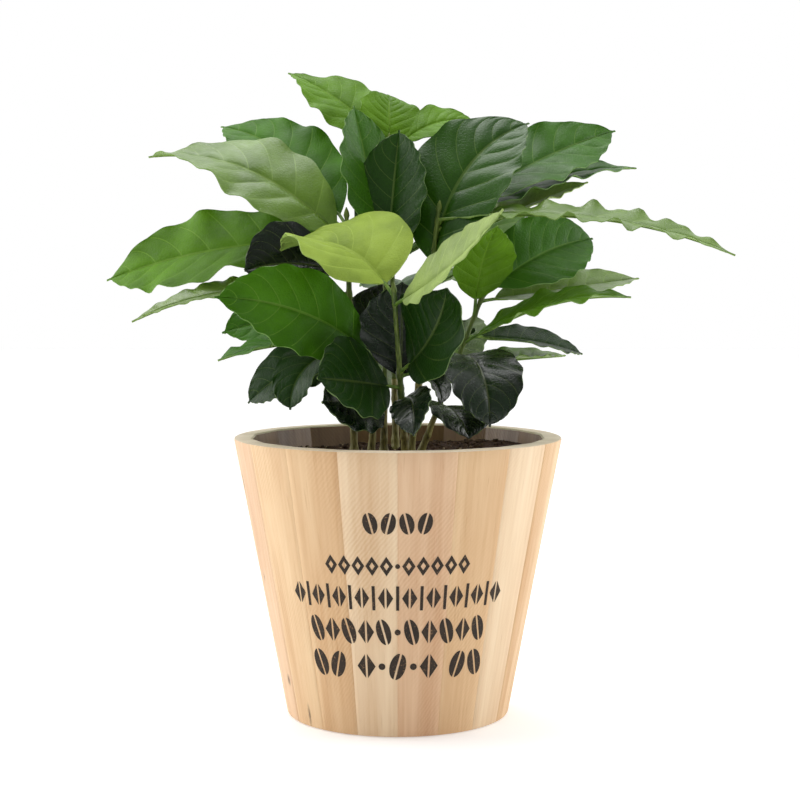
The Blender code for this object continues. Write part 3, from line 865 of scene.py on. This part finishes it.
SEEDLINGS = {
    "front": Seedling((0.0035, -0.019), (-0.0015, -0.039, 0.192), (
        Leaf(0.191, 142, 52, 76, 13, -38, 39, 0.069, 0.064, YOUNG, "lime"),
        Leaf(0.188, -63, 15, -31, 22, 68, -24, 0.083, 0.029, PALE, "pale"),
        Leaf(0.158, -58, 24, -60, 22, 73, 9, 0.051, 0.052, OLD, "dark"),
        Leaf(0.156, -17, 21, 122, -4, 0, 8, 0.027, 0.021, OLD, "black"),
        Leaf(0.151, -134, 8, 2, 0, -60, 0, 0.051, 0.042, OLD, "dark"),
        Leaf(0.148, 86, 80, -8, 0, 6, 0, 0.050, 0.040, OLD, "black"),
        Leaf(0.145, -75, 17, 76, -17, 27, 6, 0.047, 0.021, OLD, "black"),
    )),
    "crest": Seedling((-0.0065, 0.007), (-0.0055, 0.0075, 0.209), (
        Leaf(0.206, 119, 69, -2, 11, -5, 15, 0.079, 0.038, OLD, "green"),
        Leaf(0.196, 65, 80, 0, -10, -4, 12, 0.073, 0.040, OLD, "deep"),
        Leaf(0.152, 93, 74, 1, 0, -6, 0, 0.047, 0.042, OLD, "black"),
    )),
    "left": Seedling((-0.02, 0.004), (-0.0235, 0.0085, 0.226), (
        Leaf(0.223, 128, 44, 35, 11, -33, 9, 0.108, 0.045, GROWN, "bright"),
        Leaf(0.218, 169, -2, 16, -18, -26, -34, 0.128, 0.051, BRIGHT, "spring"),
        Leaf(0.215, 168, 46, 53, -4, -69, 69, 0.110, 0.050, GROWN, "olive"),
        Leaf(0.202, -160, 14, 30, 0, -68, 0, 0.050, 0.041, OLD, "black"),
        Leaf(0.192, 185, 8, 35, -3, -27, 8, 0.102, 0.020, PALE, "silver"),
        Leaf(0.187, 141, 7, 40, 0, -27, 0, 0.084, 0.036, GROWN, "green"),
    )),
    "low_left": Seedling((-0.012, -0.012), (-0.009, -0.014, 0.176), (
        Leaf(0.173, 184, 19, 40, 3, -27, -33, 0.071, 0.036, GROWN, "green"),
        Leaf(0.170, 200, 6, 24, 13, -1, -4, 0.077, 0.027, GROWN, "green"),
        Leaf(0.163, -130, 33, 33, -28, -93, 21, 0.090, 0.040, BRIGHT, "bright"),
        Leaf(0.165, 182, 16, 110, 30, 5, -35, 0.055, 0.032, OLD, "dark"),
        Leaf(0.158, 159, 11, 59, 0, -47, -14, 0.069, 0.031, OLD, "dark"),
        Leaf(0.145, -103, 3, 2, -19, -35, -37, 0.056, 0.038, OLD, "black"),
    )),
    "right": Seedling((0.006, 0.005), (0.0185, 0.004, 0.229), (
        Leaf(0.226, -14, 6, 30, 0, 14, 0, 0.137, 0.030, BRIGHT, "olive"),
        Leaf(0.224, 29, 32, 18, 7, 6, 43, 0.115, 0.044, GROWN, "green"),
        Leaf(0.221, 34, 28, 28, -12, 13, 4, 0.117, 0.033, GROWN, "green"),
        Leaf(0.212, 25, 25, 7, 0, -5, 26, 0.088, 0.028, PALE, "pale"),
        Leaf(0.199, 22, 84, 69, 9, 42, -9, 0.096, 0.053, GROWN, "gloss"),
        Leaf(0.194, 54, 24, 60, 0, -31, 0, 0.098, 0.042, GROWN, "green"),
        Leaf(0.170, 71, 13, 58, 0, -17, 0, 0.078, 0.036, OLD, "dark"),
    )),
    "leaning": Seedling((0.01, -0.005), (0.039, -0.008, 0.193), (
        Leaf(0.191, 34, 36, 31, 0, 48, 5, 0.071, 0.039, OLD, "green"),
        Leaf(0.189, 32, 7, 1, -6, 29, -4, 0.089, 0.029, PALE, "silver"),
        Leaf(0.182, 102, 103, -37, 21, 1, 0, 0.047, 0.032, BRIGHT, "fresh"),
        Leaf(0.173, 31, -1, 17, -6, 12, 18, 0.064, 0.026, OLD, "dark"),
        Leaf(0.170, -30, 31, 36, 24, 28, -20, 0.081, 0.030, BRIGHT, "spring"),
        Leaf(0.164, 96, 17, 48, 0, -15, 0, 0.066, 0.030, OLD, "dark"),
        Leaf(0.163, -73, 14, 109, 0, 0, 11, 0.060, 0.036, OLD, "black"),
        Leaf(0.161, 34, 2, 1, 0, 4, 7, 0.064, 0.024, PALE, "olive"),
        Leaf(0.157, -28, 24, 92, -5, 20, -5, 0.035, 0.027, BRIGHT, "bright"),
        Leaf(0.141, -74, 10, 67, 13, -16, 18, 0.038, 0.033, OLD, "black"),
    )),
    "back": Seedling((-0.001, 0.021), (-0.004, 0.036, 0.262), (
        Leaf(0.260, 134, 42, 20, 23, -49, 41, 0.073, 0.037, BRIGHT, "fresh"),
        Leaf(0.258, 10, 46, 58, 8, 38, -10, 0.047, 0.027, BRIGHT, "fresh"),
        Leaf(0.256, 92, 80, 55, 0, 4, 16, 0.040, 0.031, BRIGHT, "fresh"),
        Leaf(0.224, 82, 42, 50, 0, -1, 0, 0.092, 0.042, GROWN, "spring"),
        Leaf(0.211, 142, 28, 66, 0, 8, 0, 0.098, 0.042, GROWN, "green"),
        Leaf(0.206, 40, 32, 68, 0, -32, 0, 0.098, 0.042, GROWN, "green"),
        Leaf(0.184, 85, 29, 74, 0, -12, 0, 0.104, 0.044, GROWN, "green"),
        Leaf(0.176, 128, 22, 66, 0, 25, 0, 0.096, 0.040, OLD, "deep"),
        Leaf(0.158, 47, 9, 62, 0, -15, 0, 0.078, 0.036, OLD, "dark"),
        Leaf(0.156, 111, 7, 66, 0, 16, 0, 0.074, 0.036, OLD, "dark"),
    )),
}
print("leaves:", sum(len(seedling.leaves) for seedling in SEEDLINGS.values()))

# %% The rule of the midrib and outline
PETIOLE_LENGTH = 0.008
PETIOLE_RADIUS = 0.0008
MIDRIB_STEPS = 120
DROOP_POWER = 1.3
BLADE_END = 0.975
DRIP_TIP_START = 0.80
DRIP_TIP_WIDTH = 0.13
DRIP_TIP_TAPER = 0.12
WAVE_FADE_POWER = 0.7
WAVE_FULL_LENGTH = 0.110


def stem_point(seedling, height):
    """Centre of the seedling's stem at this height."""
    foot = Vector((*seedling.foot, PEAT_LEVEL))
    top = Vector(seedling.top)
    return foot.lerp(top, (height - PEAT_LEVEL) / (top.z - PEAT_LEVEL))


def leaf_frame(leaf, share):
    """Unit vectors along the midrib, to the left edge and out of the upper face."""
    heading = math.radians(leaf.azimuth + leaf.sweep * share)
    climb = math.radians(leaf.rise - leaf.droop * share**DROOP_POWER)
    roll = math.radians(leaf.roll + leaf.twist * share)
    along = Vector((
        math.cos(climb) * math.cos(heading),
        math.cos(climb) * math.sin(heading),
        math.sin(climb),
    ))
    level = Vector((-math.sin(heading), math.cos(heading), 0))
    up = along.cross(level)
    left = level * math.cos(roll) + up * math.sin(roll)
    face = up * math.cos(roll) - level * math.sin(roll)
    return along, left, face


def half_width(age, share):
    """Half the blade's width at this share of its length, as a share of the widest."""
    body = 0.0
    if 0 < share < BLADE_END:
        body = math.sin(math.pi * (share / BLADE_END) ** age.widest) ** age.fullness
    tail = 0.0
    if share > DRIP_TIP_START:
        tail = DRIP_TIP_WIDTH * min(1, (1 - share) / DRIP_TIP_TAPER)
    return max(body, tail)


def midrib(leaf, root):
    """Points of the midrib at even steps of the leaf's length."""
    points = [root]
    for step in range(MIDRIB_STEPS):
        along = leaf_frame(leaf, (step + 0.5) / MIDRIB_STEPS)[0]
        points.append(points[-1] + along * (leaf.length / MIDRIB_STEPS))
    return points


def on_midrib(points, share):
    at = min(int(share * MIDRIB_STEPS), MIDRIB_STEPS - 1)
    return points[at].lerp(points[at + 1], share * MIDRIB_STEPS - at)


# %% [markdown]
# ## Leaves: the blade
# A coffee leaf looks quilted: seven or eight pairs of side veins are sunk into the upper
# face and the flesh between them swells. So the rows of the grid lean forward along the
# side veins, a narrow strip of faces marks each vein, and the rows between are lifted in a
# low arch. The midrib lies in a groove. The margin draws in a little at each vein, and it
# ripples the more often the more slender the leaf. A Solidify modifier then gives the
# blade its thickness and puts the paler finish on the underside.

# %% Blade
VEIN_PAIRS = 8
VEIN_STRIP = 0.022
BETWEEN_VEINS = (VEIN_STRIP, 0.10, 0.22, 0.36, 0.50, 0.64, 0.78, 0.90, 1 - VEIN_STRIP)
ACROSS = (0.0, 0.035, 0.14, 0.27, 0.41, 0.55, 0.69, 0.82, 0.92, 0.975, 1.0)
VEIN_LEAN = 0.95
GROOVE = 0.00035
RUFFLE = 0.012
SCALLOP = 0.07
RIPPLES = 1.5
LEAF_THICKNESS = 0.00040

ROWS = [0.0]
for pair in range(VEIN_PAIRS):
    ROWS += [(pair + within) / VEIN_PAIRS for within in BETWEEN_VEINS]
ROWS.append(1.0)
COLUMNS = [-share for share in ACROSS[:0:-1]] + list(ACROSS)


def margin_wave(leaf, share, other_side):
    """Height of the margin's waves: two of them that never keep step, from the leaf's own start."""
    start = leaf.azimuth + 1000 * leaf.height + (2.3 if other_side else 0)
    turns = 2 * math.pi * RIPPLES * leaf.length / leaf.width * share
    wave = 0.60 * math.cos(turns + start) + 0.40 * math.cos(1.73 * turns + 1.7 * start)
    fade = math.sin(math.pi * min(max(share, 0), 1)) ** WAVE_FADE_POWER
    return leaf.age.wave * min(1, leaf.length / WAVE_FULL_LENGTH) * fade * wave


def blade_point(leaf, spine, row, column):
    """A point of the upper face: row along the veins from base to tip, column from -1 to 1."""
    side = abs(column)
    lean = VEIN_LEAN * leaf.width / 2 / leaf.length
    share = min(1.0, row + lean * math.sin(math.pi * row) * side**1.15)
    petiole = PETIOLE_LENGTH / leaf.length
    whole = petiole + (1 - petiole) * share
    _, left, face = leaf_frame(leaf, whole)
    reach = max(leaf.width / 2 * half_width(leaf.age, share), 0.0005)
    fold = math.radians(leaf.age.fold)
    wave = margin_wave(leaf, share, column < 0) * side**2
    within = row * VEIN_PAIRS % 1
    body = min(1, side / 0.14) * (1 - 0.25 * side)
    narrow = min(1, reach / (leaf.width * 0.3))
    quilt = leaf.age.quilt * leaf.width * math.sin(math.pi * within) ** 0.8 * body * narrow
    ruffle = RUFFLE * leaf.width * math.cos(2 * math.pi * within) * side**4 * narrow
    groove = -GROOVE * max(0, 1 - side / 0.05)
    bay = 1 - SCALLOP * (0.5 + 0.5 * math.cos(2 * math.pi * within)) * side**4
    out = left * (column * reach * bay * math.cos(fold))
    lift = reach * math.sin(fold) * side**0.85
    height = lift + wave + quilt + ruffle + groove
    return on_midrib(spine, whole) + out + face * height


def add_blade(bm, leaf, spine, first_slot):
    rows, columns = len(ROWS) - 1, len(COLUMNS) - 1
    made = bmesh.ops.create_grid(bm, x_segments=rows, y_segments=columns, size=1)["verts"]
    for face in {face for vert in made for face in vert.link_faces}:
        middle = face.calc_center_median()
        row = int((middle.x + 1) / 2 * rows)
        column = abs(middle.y) * columns / 2
        on_vein = row % len(BETWEEN_VEINS) == 0 and 1 < column < columns / 2 - 2
        face.material_index = first_slot + (2 if column < 1 or on_vein else 0)
        face.smooth = True
    for vert in made:
        row = ROWS[round((vert.co.x + 1) / 2 * rows)]
        column = COLUMNS[round((vert.co.y + 1) / 2 * columns)]
        vert.co = blade_point(leaf, spine, row, column)
    for edge in {edge for vert in made for edge in vert.link_edges}:
        if edge.is_boundary:
            edge.smooth = False


def build_leaves(word, seedling):
    bm = bmesh.new()
    tints = sorted({leaf.tint for leaf in seedling.leaves}, key=list(TINTS).index)
    for leaf in seedling.leaves:
        spine = midrib(leaf, stem_point(seedling, leaf.height))
        add_blade(bm, leaf, spine, 4 * tints.index(leaf.tint))
    finishes = [finish for tint in tints for finish in LEAF_FINISHES[tint]]
    leaves = object_from("leaves_" + word, bm, finishes)
    shell = leaves.modifiers.new("thickness", "SOLIDIFY")
    shell.thickness = LEAF_THICKNESS
    shell.offset = 0
    shell.material_offset = 1
    shell.material_offset_rim = 1
    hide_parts("foliage_" + word)
    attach(leaves, "root")
    return leaves


for word, seedling in SEEDLINGS.items():
    leaves = build_leaves(word, seedling)
    print(leaves.name, "faces before thickness:", len(leaves.data.polygons))

# %% [markdown]
# ## Twigs
# Each seedling's stem runs on through its leaves to a pointed bud. Every leaf hangs on a
# short grooved stalk that runs on under the blade as a raised midrib, which thins out
# towards the tip. The leader swells a little at each node. These are skins through rings
# again, joined into one piece for each seedling.

# %% Finishes of stems and twigs
def green_bark(name, light, dark, streak, depth):
    finish, tree, shader = new_finish(name, roughness=0.5, specular=0.4)
    place = place_node(tree, "ShaderNodeTexCoord").outputs["Object"]
    stretch = place_node(tree, "ShaderNodeVectorMath", {"operation": "MULTIPLY"}, i0=place,
                         i1=(streak, streak, streak / 9))
    fibres = place_node(tree, "ShaderNodeTexNoise", Vector=stretch.outputs[0], Scale=1.0, Detail=4.0)
    patches = place_node(tree, "ShaderNodeTexNoise", Vector=place, Scale=140.0, Detail=2.0)
    tone = maths(tree, "ADD", maths(tree, "MULTIPLY", fibres.outputs[0], 0.6),
                 maths(tree, "MULTIPLY", patches.outputs[0], 0.4))
    colour = mix_colours(tree, ramp_range(tree, tone, 0.38, 0.62), dark, light)
    tree.links.new(colour, shader.inputs["Base Color"])
    tree.links.new(ramp_range(tree, fibres.outputs[0], 0.3, 0.7, 0.62, 0.42), shader.inputs["Roughness"])
    tree.links.new(bump(tree, fibres.outputs[0], depth, 0.8), shader.inputs["Normal"])
    return finish


STEM_FINISH = green_bark("stem_bark", paint(158, 150, 84), paint(92, 84, 40), 1500, 0.0003)
TWIG_FINISH = green_bark("green_twig", paint(112, 128, 52), paint(60, 82, 26), 1100, 0.0002)
STALK_FINISH = green_bark("leaf_stalk", paint(120, 148, 56), paint(70, 104, 34), 900, 0.0001)

# %% Stems with bark relief
STEM_FOOT_RADIUS = 0.0017
STEM_FORK_RADIUS = 0.0014
LEADER_TIP_RADIUS = 0.0009
FLARE_RADIUS = 0.0025
FLARE_HEIGHT = 0.004
FORK_BELOW_LEAF = 0.004
BUD_LENGTH = 0.006
BUD_RADIUS = 0.0014
STEM_SIDES = 16
TWIG_SIDES = 10
RIDGES = 5
NODE_SPACING = 0.019


def fork_height(seedling):
    return min(leaf.height for leaf in seedling.leaves) - FORK_BELOW_LEAF


def barked_ring(centre, radius, sides, seed):
    """A ring with shallow ridges and seeded roughness, for the relief of the bark."""
    points = []
    for side in range(sides):
        angle = 2 * math.pi * side / sides
        towards = Vector((math.cos(angle), math.sin(angle), 0))
        spot = Vector((towards.x, towards.y, centre.z * 90)) + Vector((seed, 0, 0))
        relief = 1 + 0.045 * math.cos(RIDGES * angle + 9 * centre.z * 60) + 0.09 * noise.noise(spot * 2.2)
        points.append(centre + towards * radius * relief)
    return points


def build_stem(number, word, seedling):
    bm = bmesh.new()
    low, high = PEAT_LEVEL - 0.002, fork_height(seedling)
    steps = 44
    rings = []
    for step in range(steps + 1):
        height = low + (high - low) * step / steps
        up = max(0.0, height - PEAT_LEVEL)
        radius = STEM_FOOT_RADIUS + (STEM_FORK_RADIUS - STEM_FOOT_RADIUS) * up / (high - PEAT_LEVEL)
        radius += (FLARE_RADIUS - STEM_FOOT_RADIUS) * math.exp(-up / FLARE_HEIGHT * 2.2)
        from_node = abs((up + 0.004 * number) % NODE_SPACING - NODE_SPACING / 2)
        radius += 0.00028 * math.exp(-((from_node / 0.0011) ** 2))
        rings.append(barked_ring(stem_point(seedling, height), radius, STEM_SIDES, number * 7.3))
    skin(bm, rings)
    bmesh.ops.recalc_face_normals(bm, faces=bm.faces[:])
    stem = object_from("stem_bark_" + word, bm, [STEM_FINISH])
    stem.data.shade_smooth()
    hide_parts("stem_" + word)
    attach(stem, "root")
    return stem


for number, (word, seedling) in enumerate(SEEDLINGS.items()):
    build_stem(number, word, seedling)
print("stems:", len(SEEDLINGS))


# %% Leaders, stalks and midribs
def add_leader(bm, number, seedling):
    low, top = fork_height(seedling), seedling.top[2]
    nodes = [leaf.height for leaf in seedling.leaves]
    steps = max(24, int((top - low) / 0.0012))
    rings = []
    for step in range(steps + 1):
        height = low + (top - low) * step / steps
        radius = STEM_FORK_RADIUS + (LEADER_TIP_RADIUS - STEM_FORK_RADIUS) * step / steps
        radius += sum(0.0004 * math.exp(-(((height - node) / 0.0013) ** 2)) for node in nodes)
        rings.append(barked_ring(stem_point(seedling, height), min(radius, 0.0021), TWIG_SIDES, number * 3.1))
    for share, radius in ((0.15, 0.75), (0.35, 1.0), (0.6, 0.8), (0.8, 0.5), (0.95, 0.22), (1.0, 0.08)):
        centre = stem_point(seedling, top + BUD_LENGTH * share)
        rings.append(barked_ring(centre, BUD_RADIUS * radius, TWIG_SIDES, 0))
    skin(bm, rings)


def add_stalk(bm, leaf, root):
    """The stalk and then the rib under the blade, flattened where it runs under the blade."""
    spine = midrib(leaf, root)
    petiole = PETIOLE_LENGTH / leaf.length
    rings = []
    steps = 40
    for step in range(steps + 1):
        share = step / steps * 0.97
        _, left, face = leaf_frame(leaf, share)
        on_blade = max(0.0, (share - petiole) / (1 - petiole))
        radius = PETIOLE_RADIUS * (1 - 0.82 * on_blade**0.7)
        swell = 1 + 0.5 * math.exp(-((share * leaf.length / 0.0018) ** 2))
        sink = radius * min(1.0, on_blade * 12) * 0.92 + GROOVE * min(1, on_blade * 12)
        centre = on_midrib(spine, share) - face * sink
        ring = []
        for side in range(TWIG_SIDES):
            angle = 2 * math.pi * side / TWIG_SIDES
            dent = 1 - 0.22 * max(0, math.sin(angle)) ** 3
            ring.append(centre + (left * math.cos(angle) + face * math.sin(angle) * dent) * radius * swell)
        rings.append(ring)
    skin(bm, rings)


def build_twigs(number, word, seedling):
    bm = bmesh.new()
    add_leader(bm, number, seedling)
    leader_faces = len(bm.faces)
    for leaf in seedling.leaves:
        add_stalk(bm, leaf, stem_point(seedling, leaf.height))
    bm.faces.ensure_lookup_table()
    for face in bm.faces[leader_faces:]:
        face.material_index = 1
    bmesh.ops.recalc_face_normals(bm, faces=bm.faces[:])
    twigs = object_from("twigs_" + word, bm, [TWIG_FINISH, STALK_FINISH])
    twigs.data.shade_smooth()
    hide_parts("foliage_" + word)
    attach(twigs, "root")
    return twigs


for number, (word, seedling) in enumerate(SEEDLINGS.items()):
    twigs = build_twigs(number, word, seedling)
    print(twigs.name, "faces:", len(twigs.data.polygons))
